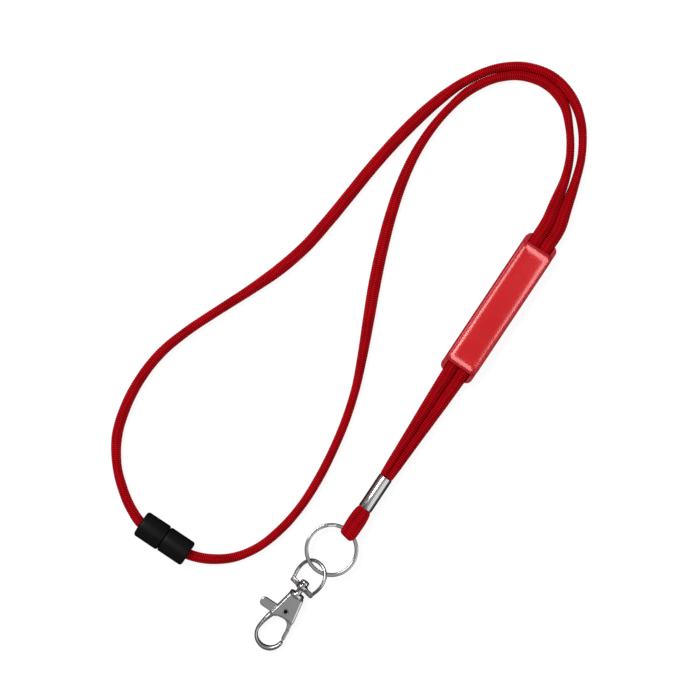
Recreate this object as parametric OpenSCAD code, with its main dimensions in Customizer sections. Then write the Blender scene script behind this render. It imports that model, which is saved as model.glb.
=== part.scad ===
// Neck lanyard of round woven cord, with a breakaway connector, a badge slider
// on the two strands, a crimped ferrule, a split ring and a swivel trigger hook.
// The whole lanyard lies flat on the plane z = 0. +Y runs from the hook towards
// the neck end, +X runs along the breakaway connector, and units are millimetres.

/* [Cord] */
// Height of the soft round cord
cord_d = 4.4; // [4.2:0.1:4.4]
// Flat sides round each cord tube
cord_sides = 8; // [8:1:12]

/* [Badge slider] */
// Width across the slider
slider_w = 14; // [13.6:0.2:15]
// Length of the tray that the cords run through
tray_len = 65; // [62:1:65]
// Length of the cover
cover_len = 57; // [54:1:60]
// Thickness of the tray's floor
tray_floor = 1.2; // [1:0.1:1.2]
// Width of the cord channel
channel_w = 10.4; // [10.3:0.1:10.6]
// Height of the resin dome at its crown
dome_rise = 0.7; // [0.4:0.1:0.9]

/* [Crimp ferrule] */
// Length of the metal tube
ferrule_len = 15; // [14:0.5:16]
// Outer diameter of the metal tube
ferrule_d = 5.8; // [5.6:0.1:6.2]

/* [Split ring] */
// Outer diameter of the ring
ring_od = 21.4; // [21.3:0.1:21.5]
// Radial width of the flattened wire
ring_wire_w = 1.5; // [1.3:0.1:1.5]
// Thickness of one coil of wire
ring_wire_h = 0.9; // [0.8:0.05:0.9]

/* [Swivel hook] */
// Diameter of the wire that the swivel eye is made of
eye_wire_d = 1.4; // [1.2:0.1:1.4]
// Turn of the swivel eye about the hook's axis
eye_roll = 28; // [27:0.5:28]
// Thickness of the hook's body
body_t = 4.4; // [4:0.1:4.4]
// Thickness of the bent hook
bow_t = 3; // [2.4:0.1:3]
// Outer radius of the bent hook
bow_r = 6.3; // [6.2:0.1:6.3]

/* [Breakaway connector] */
// Outer diameter of the connector
connector_d = 11; // [10.6:0.1:11]
// Length of each half
half_len = 11; // [10.5:0.5:11]

/* [Hidden] */

$fn = 48;
eps = 0.01;

// Shared places
axis_x = 32;                      // the slider's and ferrule's axis
hold_z = 3.7;                     // height of the cords in the slider and ferrule
ferrule_y = -29.5;                // lower end of the ferrule
ring_at = [30, -50.5, hold_z];
ring_r = ring_od / 2 - ring_wire_w / 2;
fold_dx = axis_x - ring_at[0];
fold_at = [axis_x, ring_at[1] + sqrt(ring_r * ring_r - fold_dx * fold_dx), hold_z];
fold_skew = -asin(fold_dx / ring_r);
ring_tilt = 2;                    // the ring's far side rests up on the swivel eye
hook_at = [28.5, -81, 2.68];      // the lever's pivot
hook_pitch = 3.43;                // rise of the hook's axis towards the ring
connector_at = [-28, -83.4, 5.5]; // the middle of the seam

// Routes of the two strands. A point is [x, y, z, width] and, where the strand
// is squeezed, its height. Each route runs from the ferrule to the connector.
OUTER_ROUTE = [
    [32, -22, 4.85, 3.8, 2.2], [32, -14.5, 4.85, 4.4, 2.3], [32.8, -10, 4.85, 5.4, 2.3],
    [33.3, -4, 4.8, 5.4, 2.5], [33.9, 4, 4.65, 5, 2.9], [34.3, 12, 4.25, 4.8, 3.6],
    [34.5, 20, 3.95, 5, 4.2], [34.6, 28, 3.7, 5], [34.6, 62, 3.7, 5], [34.6, 98, 3.7, 5],
    [34.5, 106, 3.7, 5], [32.6, 114, 3, 4.7], [29.8, 124.5, 2.4, 3.9],
    [25.8, 135.7, 2.25, 3.4], [18.5, 146.3, 2.25, 3.7], [9.6, 152.7, 2.25, 4.2],
    [-1, 155.3, 2.25, 4.2], [-12, 152.7, 2.25, 4.1], [-21.5, 145.8, 2.25, 3.8],
    [-29.2, 134.4, 2.25, 3.9], [-34, 122, 2.25, 4.7], [-37.2, 109.5, 2.25, 5.1],
    [-39.6, 96.5, 2.25, 5], [-41.3, 83.5, 2.25, 5], [-42.5, 70.5, 2.25, 5],
    [-43.8, 57.5, 2.25, 5], [-45.7, 44, 2.25, 5], [-49.4, 30.5, 2.25, 4.9],
    [-54.8, 16.7, 2.25, 4.2], [-60.8, 3, 2.25, 3.9], [-66.4, -10.5, 2.25, 3.9],
    [-70.1, -23, 2.25, 4.1], [-71.2, -35.5, 2.25, 4.2], [-70, -48, 2.25, 4.4],
    [-66.4, -60, 2.25, 4.4], [-59.8, -70, 2.3, 3.9], [-51.5, -77.3, 3.2, 4.1],
    [-44.5, -81.4, 4.7, 4.2], [-39, -83.4, 5.5, 4.4], [-35.3, -83.4, 5.5, 4.4]];
INNER_ROUTE = [
    [32, -22, 2.55, 3.8, 2.2], [32, -14.5, 2.55, 4.4, 2.3], [31.2, -10, 2.55, 5.4, 2.3],
    [30.7, -4, 2.6, 5.4, 2.5], [30.1, 4, 2.75, 5, 2.9], [29.7, 12, 3.15, 4.8, 3.6],
    [29.5, 20, 3.45, 5, 4.2], [29.4, 28, 3.7, 5], [29.4, 62, 3.7, 5], [29.4, 98, 3.7, 5],
    [29, 106, 3.7, 5], [27.6, 114, 3, 4.7], [25.4, 124.5, 2.4, 3.9],
    [21.8, 133.3, 2.25, 3.4], [15.5, 142.2, 2.25, 3.4], [8.1, 148.4, 2.25, 3.8],
    [-1.5, 151, 2.25, 4.2], [-11.3, 148.7, 2.25, 4], [-19.5, 142.5, 2.25, 3.8],
    [-25.5, 133, 2.25, 3.9], [-28.5, 122.5, 2.25, 3.5], [-30, 110, 2.25, 3.7],
    [-29.6, 97.5, 2.25, 4.1], [-27.3, 84.5, 2.25, 4.5], [-23.8, 72, 2.25, 4.8],
    [-19.2, 59, 2.25, 5], [-14.3, 46.8, 2.25, 5.1], [-8.8, 34.5, 2.25, 4.8],
    [-3.2, 22, 2.25, 4.2], [2.3, 8.5, 2.25, 3.6], [6.1, -4.5, 2.25, 3.6],
    [8.6, -17.5, 2.25, 3.6], [10.1, -30.5, 2.25, 3.7], [10.3, -43, 2.25, 3.6],
    [8.7, -55, 2.25, 3.7], [5, -66.3, 2.25, 3.6], [-1, -75, 2.5, 3.9],
    [-9.5, -81, 4, 4.2], [-17, -83.4, 5.5, 4.4], [-20.7, -83.4, 5.5, 4.4]];

// --- outlines -------------------------------------------------------------

// A quarter circle of points that starts at the angle from
function corner(x, y, r, from) = [for (k = [0:6]) [x + r * cos(from + 15 * k), y + r * sin(from + 15 * k)]];

// A rectangle about the origin with round corners
function round_rect(w, l, r) = concat(
    corner(w / 2 - r, l / 2 - r, r, 0), corner(r - w / 2, l / 2 - r, r, 90),
    corner(r - w / 2, r - l / 2, r, 180), corner(w / 2 - r, r - l / 2, r, 270));

// --- cord -----------------------------------------------------------------

function unit(v) = v / norm(v);
function spot(p) = [p[0], p[1], p[2]];
function height_of(p) = len(p) > 4 ? p[4] : cord_d;
function heading(route, i) =
    unit(spot(route[min(i + 1, len(route) - 1)]) - spot(route[max(i - 1, 0)]));
// One ring of the tube, square to the route, with its width level
function tube_ring(route, i) =
    let (ahead = heading(route, i), side = unit(cross(ahead, [0, 0, 1])), up = cross(side, ahead))
    [for (k = [0:cord_sides - 1]) let (a = 360 * k / cord_sides)
        spot(route[i]) + side * cos(a) * route[i][3] / 2 + up * sin(a) * height_of(route[i]) / 2];

module cord_tube(route) {
    n = len(route);
    s = cord_sides;
    walls = [for (i = [0:n - 2], k = [0:s - 1])
        [i * s + k, i * s + (k + 1) % s, (i + 1) * s + (k + 1) % s, (i + 1) * s + k]];
    start_cap = [for (k = [s - 1:-1:0]) k];
    end_cap = [for (k = [0:s - 1]) (n - 1) * s + k];
    polyhedron(points = [for (i = [0:n - 1]) each tube_ring(route, i)],
               faces = concat([start_cap], walls, [end_cap]), convexity = 10);
}

module cord_outer() {
    color("crimson") cord_tube(OUTER_ROUTE);
}

module cord_inner() {
    color("crimson") cord_tube(INNER_ROUTE);
}

// The flattened fold of cord that holds the split ring, and its stub in the ferrule
fold_w = 6.6;
fold_r = 3.1;
fold_hollow_r = 1.7;
fold_stub_r = 2.3;
fold_stub_len = 7.5;
module cord_fold() {
    fold_back = ferrule_y - fold_at[1];
    color("crimson") {
        difference() {
            intersection() {
                union() {
                    translate(fold_at) rotate([0, 90, 0]) cylinder(r = fold_r, h = fold_w, center = true);
                    translate([axis_x - fold_w / 2, fold_at[1], hold_z]) rotate([90, 0, 90])
                        linear_extrude(fold_w) polygon([
                            [0, fold_r], [fold_back, fold_stub_r], [fold_back, -fold_stub_r], [0, -fold_r]]);
                }
                linear_extrude(10) polygon([
                    [axis_x - fold_w / 2, fold_at[1] - 5], [axis_x + fold_w / 2, fold_at[1] - 5],
                    [axis_x + fold_w / 2, fold_at[1] + 4], [axis_x + fold_stub_r, ferrule_y],
                    [axis_x - fold_stub_r, ferrule_y], [axis_x - fold_w / 2, fold_at[1] + 4]]);
            }
            translate(fold_at) rotate([0, 90, fold_skew]) cylinder(r = fold_hollow_r, h = 12, center = true);
        }
        translate([axis_x, ferrule_y - eps, hold_z]) rotate([-90, 0, 0])
            cylinder(r = fold_stub_r, h = fold_stub_len + eps);
    }
}

// --- crimp ferrule --------------------------------------------------------

ferrule_bore_r = 2.45;
ferrule_lip = 0.2;
module crimp_ferrule() {
    outer = ferrule_d / 2;
    color("silver") translate([axis_x, ferrule_y, hold_z]) rotate([-90, 0, 0])
        rotate_extrude() polygon([
            [ferrule_bore_r, 0], [outer - ferrule_lip, 0], [outer, ferrule_lip],
            [outer, ferrule_len - ferrule_lip], [outer - ferrule_lip, ferrule_len],
            [ferrule_bore_r, ferrule_len]]);
}

// --- badge slider ---------------------------------------------------------

slider_at = [axis_x, 66.5, 0];    // middle of the slider
channel_h = 5;
joint_z = 5.2;                    // where the cover sits on the tray's walls
cover_top = 7.4;
label_w = 10.8;
label_len = 53;
label_t = 0.15;
peg_r = 0.5;
peg_gap = 0.03;
peg_len = 1.6;
PEGS = [for (x = [-1, 1], y = [-22, 22]) [x * (channel_w / 2 + slider_w / 2) / 2, y]];

module slider_tray() {
    color("firebrick") translate(slider_at) difference() {
        linear_extrude(joint_z) polygon(round_rect(slider_w, tray_len, 2.6));
        translate([-channel_w / 2, -tray_len, tray_floor]) cube([channel_w, 2 * tray_len, 10]);
        for (p = PEGS)
            translate([p[0], p[1], joint_z - peg_len - 0.2]) cylinder(r = peg_r + peg_gap, h = peg_len + 1);
    }
}

module slider_cover() {
    rise = cover_top - joint_z;
    color("red") translate(slider_at) difference() {
        union() {
            intersection() {
                translate([0, 0, joint_z]) linear_extrude(rise) polygon(round_rect(slider_w, cover_len, 2.6));
                rotate([90, 0, 0]) linear_extrude(tray_len, center = true)
                    translate([0, cover_top - slider_w / 2]) polygon(round_rect(slider_w, slider_w, 1.2));
            }
            for (p = PEGS)
                translate([p[0], p[1], joint_z - peg_len]) cylinder(r = peg_r, h = peg_len + 0.5);
        }
        translate([-channel_w / 2, -tray_len, 0]) cube([channel_w, 2 * tray_len, tray_floor + channel_h]);
        translate([0, 0, cover_top - label_t]) linear_extrude(1) polygon(round_rect(label_w, label_len, 1.2));
    }
}

module badge_label() {
    color("red") translate(slider_at + [0, 0, cover_top - label_t])
        linear_extrude(label_t) polygon(round_rect(label_w, label_len, 1.2));
}

// A glossy red resin dome, crowned across its width
module badge_dome() {
    half_w = label_w / 2;
    edge_h = 0.25;
    crown = dome_rise - edge_h;
    crown_r = (half_w * half_w + crown * crown) / (2 * crown);
    color([0.85, 0.12, 0.14]) translate(slider_at + [0, 0, cover_top]) intersection() {
        linear_extrude(dome_rise + 1) polygon(round_rect(label_w, label_len, 1.2));
        translate([0, 0, dome_rise - crown_r]) rotate([90, 0, 0])
            cylinder(r = crown_r, h = label_len + 2, center = true, $fn = 360);
    }
}

// --- split ring -----------------------------------------------------------

coil_gap = 0.05;
step_from = 118;                  // where the wire steps from one coil to the other
step_turn = 8;
end_gap = 3;                      // between each coil's free end and the step
step_overlap = 1;
step_inset = 0.1;
module ring_coil(turn, from, w, h, z) {
    rotate([0, 0, from]) rotate_extrude(angle = turn, $fn = 96)
        translate([ring_r, z]) polygon(round_rect(w, h, 0.25));
}

module split_ring() {
    rise = (ring_wire_h + coil_gap) / 2;
    turn = 360 - step_turn - end_gap + step_overlap;
    step_w = ring_wire_w - step_inset;
    step_h = 2 * ring_wire_h + coil_gap - step_inset;
    color("silver") translate(fold_at) rotate([0, 0, fold_skew]) rotate([-ring_tilt, 0, 0])
    rotate([0, 0, -fold_skew]) translate(ring_at - fold_at) {
        ring_coil(turn, step_from + step_turn - step_overlap, ring_wire_w, ring_wire_h, rise);
        ring_coil(turn, step_from + step_overlap - turn, ring_wire_w, ring_wire_h, -rise);
        ring_coil(step_turn, step_from, step_w, step_h, 0);
    }
}

// --- swivel hook ----------------------------------------------------------
// The hook's own frame: x across, y along its axis to the ring, z up, with the
// lever's pivot at the origin.

module hook_frame() {
    translate(hook_at) rotate([hook_pitch, 0, 0]) children();
}

// Places along the hook's axis
collar_from = 7.1;
collar_to = 8.7;
eye_base_from = 10.6;
eye_base_to = 12.7;
shank_r = 1.25;
running_gap = 0.05;
eye_lean = 5;                     // the eye hangs askew on its loose pin
eye_bore_r = shank_r + 0.2;
eye_leg_x = 5.4;
eye_corner_r = 3.4;
eye_top = 23.1;
eye_base_t = 1.3;

module swivel_eye() {
    wire_r = eye_wire_d / 2;
    corner_wire_r = wire_r - 0.03;
    shoulder = eye_top - eye_corner_r;
    base_mid = (eye_base_from + eye_base_to) / 2;
    color("silver") hook_frame() rotate([0, -eye_roll, 0])
    translate([0, base_mid, 0]) rotate([0, 0, -eye_lean]) translate([0, -base_mid, 0]) difference() {
        union() {
            for (s = [-1, 1]) {
                translate([s * eye_leg_x, base_mid, 0]) rotate([-90, 0, 0])
                    cylinder(r = wire_r, h = shoulder - base_mid + 0.1);
                translate([s * (eye_leg_x - eye_corner_r), shoulder, 0])
                    rotate([0, 0, s > 0 ? 0 : 90]) rotate_extrude(angle = 90)
                        translate([eye_corner_r, 0]) circle(r = corner_wire_r, $fn = 24);
            }
            translate([0, eye_top, 0]) rotate([0, 90, 0])
                cylinder(r = wire_r, h = 2 * (eye_leg_x - eye_corner_r) + 0.2, center = true);
            translate([-eye_leg_x, eye_base_from, -eye_base_t / 2])
                cube([2 * eye_leg_x, eye_base_to - eye_base_from, eye_base_t]);
            translate([0, eye_base_from, 0]) rotate([-90, 0, 0])
                cylinder(r = 2.3, h = eye_base_to - eye_base_from);
        }
        rotate([-90, 0, 0]) cylinder(r = eye_bore_r, h = 16);
    }
}

// The swivel pin: a shank pressed into the body, and a head inside the eye
pin_from = 5.4;
head_from = 13;
head_len = 1.6;
head_r = 1.85;
module swivel_pin() {
    color("gray") hook_frame() rotate([-90, 0, 0]) {
        translate([0, 0, pin_from]) cylinder(r = shank_r, h = head_from - pin_from + eps);
        translate([0, 0, head_from]) cylinder(r = head_r, h = head_len);
    }
}

bow_at = [-0.1, -11.8];           // centre of the bend's outer edge
bow_inner_at = [-0.1, -11.2];
bow_inner_r = 4.9;
tip_y = -10.9;
slot_t = 2.1;
slot_from = -3.6;
slot_to = 4.4;
lever_pin_r = 0.8;

module bow_outline() {
    left = bow_at[0] - bow_r;
    inner_left = bow_inner_at[0] - bow_inner_r;
    difference() {
        union() {
            difference() {
                translate(bow_at) circle(r = bow_r);
                translate([-8, tip_y]) square([16, 12]);
            }
            polygon([
                [left, bow_at[1]], [-6, -8], [-5.5, -3.9], [-5.1, -2.2], [-2.6, -2.2], [-3.1, -4],
                [-3.9, -5.6], [-4.9, -8.8], [inner_left, bow_inner_at[1]]]);
        }
        translate(bow_inner_at) circle(r = bow_inner_r);
    }
}

module hook_body() {
    color("silver") hook_frame() difference() {
        union() {
            linear_extrude(body_t, center = true) polygon([
                [-2.9, collar_from], [3.5, collar_from], [5, -1], [5.2, -3.1], [4.4, -3.3], [2.2, -2.9],
                [0.2, -3], [-1.7, -3.2], [-3.1, -4], [-5.5, -3.9], [-4.2, 1]]);
            linear_extrude(bow_t, center = true) bow_outline();
            translate([0, collar_from - eps, 0]) rotate([-90, 0, 0]) cylinder(r = 3.1, h = collar_to - collar_from);
        }
        linear_extrude(slot_t, center = true) polygon([
            [-9, slot_from], [0, slot_from], [0, -6], [9, -6], [9, 3.6], [3, slot_to], [-9, slot_to]]);
        cylinder(r = lever_pin_r, h = 8, center = true);
        translate([0, pin_from, 0]) rotate([-90, 0, 0]) cylinder(r = shank_r, h = 6);
    }
}

// The thumb lever: its tab, boss and gate turn as one piece on the lever pin
lever_t = 1.9;
gate_t = 2.6;
boss_r = 2.3;
spring_pocket_r = 2.5;
tab_r = 1.9;
tab_at = [-9.1, -1.45];
gate_tip_r = 0.75;
gate_tip_at = [5.1, -9.7];
module gate_lever() {
    tab_top = tab_at[1] + tab_r;
    tab_bottom = tab_at[1] - tab_r;
    color("darkgray") hook_frame() difference() {
        union() {
            cylinder(r = boss_r, h = lever_t, center = true);
            translate(tab_at) cylinder(r = tab_r, h = lever_t, center = true);
            linear_extrude(lever_t, center = true) polygon([
                [tab_at[0], tab_top], [-1.6, tab_top], [-1.6, -1.6], [-3, tab_bottom], [tab_at[0], tab_bottom]]);
            linear_extrude(lever_t, center = true) polygon([
                [0.4, 2.1], [2.4, 1.2], [4, -1.5], [5.1, -3.2], [5.5, -6.2], [4, -6.2], [3.5, -4.6],
                [2.6, -3.4], [-0.4, -2.1]]);
            linear_extrude(gate_t, center = true) polygon([
                [5.45, -5.6], [5.85, -9.3], [gate_tip_at[0] + gate_tip_r, gate_tip_at[1]],
                [gate_tip_at[0] - gate_tip_r, gate_tip_at[1]], [4, -5.6]]);
            translate(gate_tip_at) cylinder(r = gate_tip_r, h = gate_t, center = true);
        }
        cylinder(r = spring_pocket_r, h = 4);
        cylinder(r = lever_pin_r + running_gap, h = 8, center = true);
    }
}

module lever_pin() {
    color("dimgray") hook_frame() cylinder(r = lever_pin_r, h = body_t, center = true);
}

// A torsion spring beside the lever, coiled round the pin, with two straight legs
spring_wire = 0.4;
spring_r = 1.45;
spring_h = 0.8;
module lever_spring() {
    color("gray") hook_frame() translate([0, 0, 0.1]) {
        rotate_extrude() translate([spring_r - spring_wire / 2, 0]) square([spring_wire, spring_h]);
        translate([spring_r, 0, 0.25]) rotate([-90, 0, 0]) cylinder(d = spring_wire * 0.8, h = 3.6);
        translate([-spring_r, 0, 0.55]) rotate([-90, 0, 0]) cylinder(d = spring_wire * 0.8, h = 1.6);
    }
}

// --- breakaway connector --------------------------------------------------

web_t = 2.4;                      // end wall of each half
cord_hole_r = 2.6;
edge_r = 0.9;
seam_bevel = 0.25;
socket_bore_r = 4.1;
prong_r = 4;
prong_inner_r = 3.1;
prong_len = 6;
prong_slot = 2;

// One half's outer shape along +Z, from the seam at z = 0 to its rounded end
module half_shell(bore_r) {
    r = connector_d / 2;
    rotate_extrude($fn = 64) polygon(concat(
        [[bore_r, 0], [r - seam_bevel, 0], [r, seam_bevel]],
        corner(r - edge_r, half_len - edge_r, edge_r, 0),
        [[cord_hole_r, half_len], [cord_hole_r, half_len - web_t], [bore_r, half_len - web_t]]));
}

module breakaway_socket() {
    color([0.1, 0.1, 0.1]) translate(connector_at) rotate([0, -90, 0]) half_shell(socket_bore_r);
}

module breakaway_plug() {
    color([0.13, 0.13, 0.13]) translate(connector_at) rotate([0, 90, 0]) {
        half_shell(prong_inner_r);
        difference() {
            translate([0, 0, -prong_len]) rotate_extrude($fn = 64)
                translate([prong_inner_r, 0]) square([prong_r - prong_inner_r, prong_len + eps]);
            for (a = [0, 90])
                rotate([0, 0, a]) translate([-prong_slot / 2, -5, -prong_len - 1])
                    cube([prong_slot, 10, prong_len - 0.5]);
        }
    }
}

// A cup crimped on a cord's end, which keeps it from pulling back through the web
stop_len = 1.8;
stop_floor = 0.5;
stop_gap = 0.1;
module end_stop(outer_r) {
    translate([0, 0, half_len - web_t - stop_gap - stop_len]) difference() {
        cylinder(r = outer_r, h = stop_len);
        translate([0, 0, stop_floor]) cylinder(r = cord_d / 2 + 0.1, h = stop_len);
    }
}

module socket_end_stop() {
    color("tan") translate(connector_at) rotate([0, -90, 0]) end_stop(3.4);
}

module plug_end_stop() {
    color("tan") translate(connector_at) rotate([0, 90, 0]) end_stop(2.95);
}

cord_outer();
cord_inner();
cord_fold();
crimp_ferrule();
slider_tray();
slider_cover();
badge_label();
badge_dome();
split_ring();
swivel_eye();
hook_body();
swivel_pin();
gate_lever();
lever_pin();
lever_spring();
breakaway_socket();
breakaway_plug();
socket_end_stop();
plug_end_stop();
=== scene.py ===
import math

import bmesh
import bpy
import numpy as np
from mathutils import Matrix, Vector


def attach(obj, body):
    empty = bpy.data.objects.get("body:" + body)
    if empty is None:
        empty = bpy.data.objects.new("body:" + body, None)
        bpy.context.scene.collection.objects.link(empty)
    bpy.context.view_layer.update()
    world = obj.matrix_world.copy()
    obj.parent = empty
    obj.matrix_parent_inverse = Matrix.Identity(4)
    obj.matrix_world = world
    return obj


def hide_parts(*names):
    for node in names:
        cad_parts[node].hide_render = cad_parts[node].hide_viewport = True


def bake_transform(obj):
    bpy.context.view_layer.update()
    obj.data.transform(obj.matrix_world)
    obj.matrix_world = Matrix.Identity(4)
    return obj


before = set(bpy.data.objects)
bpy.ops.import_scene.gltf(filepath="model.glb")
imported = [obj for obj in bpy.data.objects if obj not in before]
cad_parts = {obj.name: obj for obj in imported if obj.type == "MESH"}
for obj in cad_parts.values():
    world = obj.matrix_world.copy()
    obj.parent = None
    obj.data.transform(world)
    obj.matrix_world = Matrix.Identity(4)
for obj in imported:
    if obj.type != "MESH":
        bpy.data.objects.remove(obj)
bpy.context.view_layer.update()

# A red cord lanyard that lies flat on a table. Routes and places on the frame are in metres.
# Shapes with a frame of their own are written in millimetres, and MM scales them.
MM = 0.001

# --- the two strands: x, y, z, width and, where a strand is squeezed, its height -------------
OUTER_ROUTE = [
    (0.03312, -0.022, 0.0037, 0.0026, 0.004), (0.03318, -0.0155, 0.0037, 0.0028, 0.0042),
    (0.03342, -0.013, 0.0037, 0.0031, 0.0044), (0.0336, -0.004, 0.0037, 0.0037, 0.0042),
    (0.0338, 0.004, 0.0037, 0.004, 0.0041), (0.034, 0.012, 0.0037, 0.0044, 0.0041),
    (0.0342, 0.02, 0.0037, 0.0048, 0.0042), (0.0344, 0.028, 0.0037, 0.0051),
    (0.0346, 0.04, 0.0037, 0.0054), (0.0346, 0.098, 0.0037, 0.0055), (0.0344, 0.106, 0.0037, 0.0055),
    (0.0324, 0.114, 0.003, 0.0051), (0.0298, 0.1245, 0.0024, 0.0039), (0.0258, 0.1357, 0.00225, 0.0034),
    (0.0185, 0.1463, 0.00225, 0.0037), (0.0096, 0.1527, 0.00225, 0.0043),
    (-0.001, 0.1553, 0.00225, 0.0042), (-0.012, 0.1527, 0.00225, 0.0041),
    (-0.0215, 0.1458, 0.00225, 0.0038), (-0.0292, 0.1344, 0.00225, 0.0039),
    (-0.034, 0.122, 0.00225, 0.0047), (-0.0372, 0.1095, 0.00225, 0.0051),
    (-0.0396, 0.0965, 0.00225, 0.005), (-0.0413, 0.0835, 0.00225, 0.005),
    (-0.0425, 0.0705, 0.00225, 0.005), (-0.0438, 0.0575, 0.00225, 0.005),
    (-0.0457, 0.044, 0.00225, 0.005), (-0.0494, 0.0305, 0.00225, 0.0049),
    (-0.0548, 0.0167, 0.00225, 0.0042), (-0.0608, 0.003, 0.00225, 0.0039),
    (-0.0664, -0.0105, 0.00225, 0.0039), (-0.0701, -0.023, 0.00225, 0.0041),
    (-0.0712, -0.0355, 0.00225, 0.0042), (-0.07, -0.048, 0.00225, 0.0044),
    (-0.0664, -0.06, 0.00225, 0.0044), (-0.0598, -0.07, 0.0023, 0.0039),
    (-0.0515, -0.0773, 0.0032, 0.0041), (-0.0445, -0.0814, 0.0047, 0.0042),
    (-0.039, -0.0834, 0.0055, 0.0044), (-0.0353, -0.0834, 0.0055, 0.0044),
]
INNER_ROUTE = [
    (0.03088, -0.022, 0.0037, 0.0026, 0.004), (0.03082, -0.0155, 0.0037, 0.0028, 0.0042),
    (0.03058, -0.013, 0.0037, 0.0031, 0.0044), (0.0304, -0.004, 0.0037, 0.0037, 0.0042),
    (0.0302, 0.004, 0.0037, 0.004, 0.0041), (0.03, 0.012, 0.0037, 0.0044, 0.0041),
    (0.0298, 0.02, 0.0037, 0.0048, 0.0042), (0.0296, 0.028, 0.0037, 0.0051),
    (0.0294, 0.04, 0.0037, 0.0054), (0.0294, 0.098, 0.0037, 0.0055), (0.0292, 0.106, 0.0037, 0.0055),
    (0.0277, 0.114, 0.003, 0.0051), (0.0254, 0.1245, 0.0024, 0.0039), (0.0218, 0.1333, 0.00225, 0.0034),
    (0.0155, 0.1422, 0.00225, 0.0034), (0.0084, 0.1488, 0.00225, 0.0042),
    (-0.0013, 0.1514, 0.00225, 0.0043), (-0.0115, 0.1489, 0.00225, 0.0041),
    (-0.0195, 0.1425, 0.00225, 0.0038), (-0.0255, 0.133, 0.00225, 0.0039),
    (-0.0285, 0.1225, 0.00225, 0.0035), (-0.03, 0.11, 0.00225, 0.0037),
    (-0.0296, 0.0975, 0.00225, 0.0041), (-0.0273, 0.0845, 0.00225, 0.0045),
    (-0.0238, 0.072, 0.00225, 0.0048), (-0.0192, 0.059, 0.00225, 0.005),
    (-0.0143, 0.0468, 0.00225, 0.0051), (-0.0088, 0.0345, 0.00225, 0.0048),
    (-0.0032, 0.022, 0.00225, 0.0042), (0.0023, 0.0085, 0.00225, 0.0036),
    (0.0061, -0.0045, 0.00225, 0.0036), (0.0086, -0.0175, 0.00225, 0.0036),
    (0.0101, -0.0305, 0.00225, 0.0037), (0.0103, -0.043, 0.00225, 0.0036),
    (0.0087, -0.055, 0.00225, 0.0037), (0.005, -0.0663, 0.00225, 0.0036),
    (-0.001, -0.075, 0.0025, 0.0039), (-0.0095, -0.081, 0.004, 0.0042),
    (-0.017, -0.0834, 0.0055, 0.0044), (-0.0207, -0.0834, 0.0055, 0.0044),
]

CORD_D = 0.0044
RIB_PITCH = 0.00088               # the woven ribs across the cord
RINGS_PER_RIB = 5
CORD_SIDES = 32
YARNS = 8                         # yarn columns round the cord
RIB_DEPTH = 0.00022
YARN_DEPTH = 0.00004

AXIS_X = 32.0                     # the slider's and ferrule's axis
HOLD_Z = 3.7                      # the cords' height in the slider and ferrule
FERRULE_Y = -29.5
FERRULE_LEN = 15.0
RING_AT = (30.0, -50.5, HOLD_Z)
RING_R = 9.95
FOLD_DX = AXIS_X - RING_AT[0]
FOLD_AT = (AXIS_X, RING_AT[1] + math.sqrt(RING_R ** 2 - FOLD_DX ** 2), HOLD_Z)
FOLD_SKEW = -math.asin(FOLD_DX / RING_R)
RING_TILT = math.radians(2)
HOOK_AT = (28.5, -81.0, 2.68)
HOOK_PITCH = math.radians(3.43)
EYE_ROLL = math.radians(28)
EYE_LEAN = math.radians(5)
EYE_BASE = 11.65                  # middle of the eye's base along the hook's axis
CONNECTOR_AT = (-28.0, -83.4, 5.5)
SLIDER_AT = (AXIS_X, 66.5, 0.0)


def at(place):
    return Matrix.Translation(place)


HOOK = at(HOOK_AT) @ Matrix.Rotation(HOOK_PITCH, 4, "X")
EYE = (HOOK @ Matrix.Rotation(-EYE_ROLL, 4, "Y") @ at((0, EYE_BASE, 0))
       @ Matrix.Rotation(-EYE_LEAN, 4, "Z") @ at((0, -EYE_BASE, 0)))
RING = (at(FOLD_AT) @ Matrix.Rotation(FOLD_SKEW, 4, "Z") @ Matrix.Rotation(-RING_TILT, 4, "X")
        @ Matrix.Rotation(-FOLD_SKEW, 4, "Z") @ at(Vector(RING_AT) - Vector(FOLD_AT)))


# --- camera, floor and light -----------------------------------------------------------------

PICTURE_TURN = math.radians(33.7)  # the picture's right-hand side, turned from +X about +Z
VIEW_CENTRE = (-0.008, 0.0198)
VIEW_SPAN = 0.28
LENS = 100
SENSOR = 36
FLOOR_HALF = 3.0
KEY_POWER = 10.5
PANEL_POWER = 3.6
GLEAM_POWER = 6.8                 # for each metre of a gleam panel's width
GLEAM_DISTANCE = 0.36
GLEAM_HEIGHT = 0.25
ROOM_LIGHT = 0.5                  # on everything matte
# What metal mirrors of the room: position 0 is straight down, 0.5 the horizon and 1 straight up
ROOM_REFLECTION = [(0.0, (0.02, 0.02, 0.02)), (0.2, (0.02, 0.02, 0.02)), (0.36, (0.04, 0.04, 0.04)),
                   (0.5, (0.1, 0.1, 0.1)), (0.7, (0.3, 0.3, 0.3)), (0.78, (0.05, 0.05, 0.05)),
                   (0.955, (0.05, 0.05, 0.05)), (0.985, (0.36, 0.36, 0.36))]


def add_object(name, data):
    obj = bpy.data.objects.new(name, data)
    bpy.context.scene.collection.objects.link(obj)
    return obj


def make_camera():
    """Looks straight down on the lanyard, turned so that the slider runs up to the right."""
    data = bpy.data.cameras.new("camera")
    data.lens = LENS
    data.sensor_width = SENSOR
    camera = add_object("camera", data)
    camera.location = (*VIEW_CENTRE, VIEW_SPAN * LENS / SENSOR)
    camera.rotation_euler = (0, 0, PICTURE_TURN)
    bpy.context.scene.camera = camera


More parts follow.
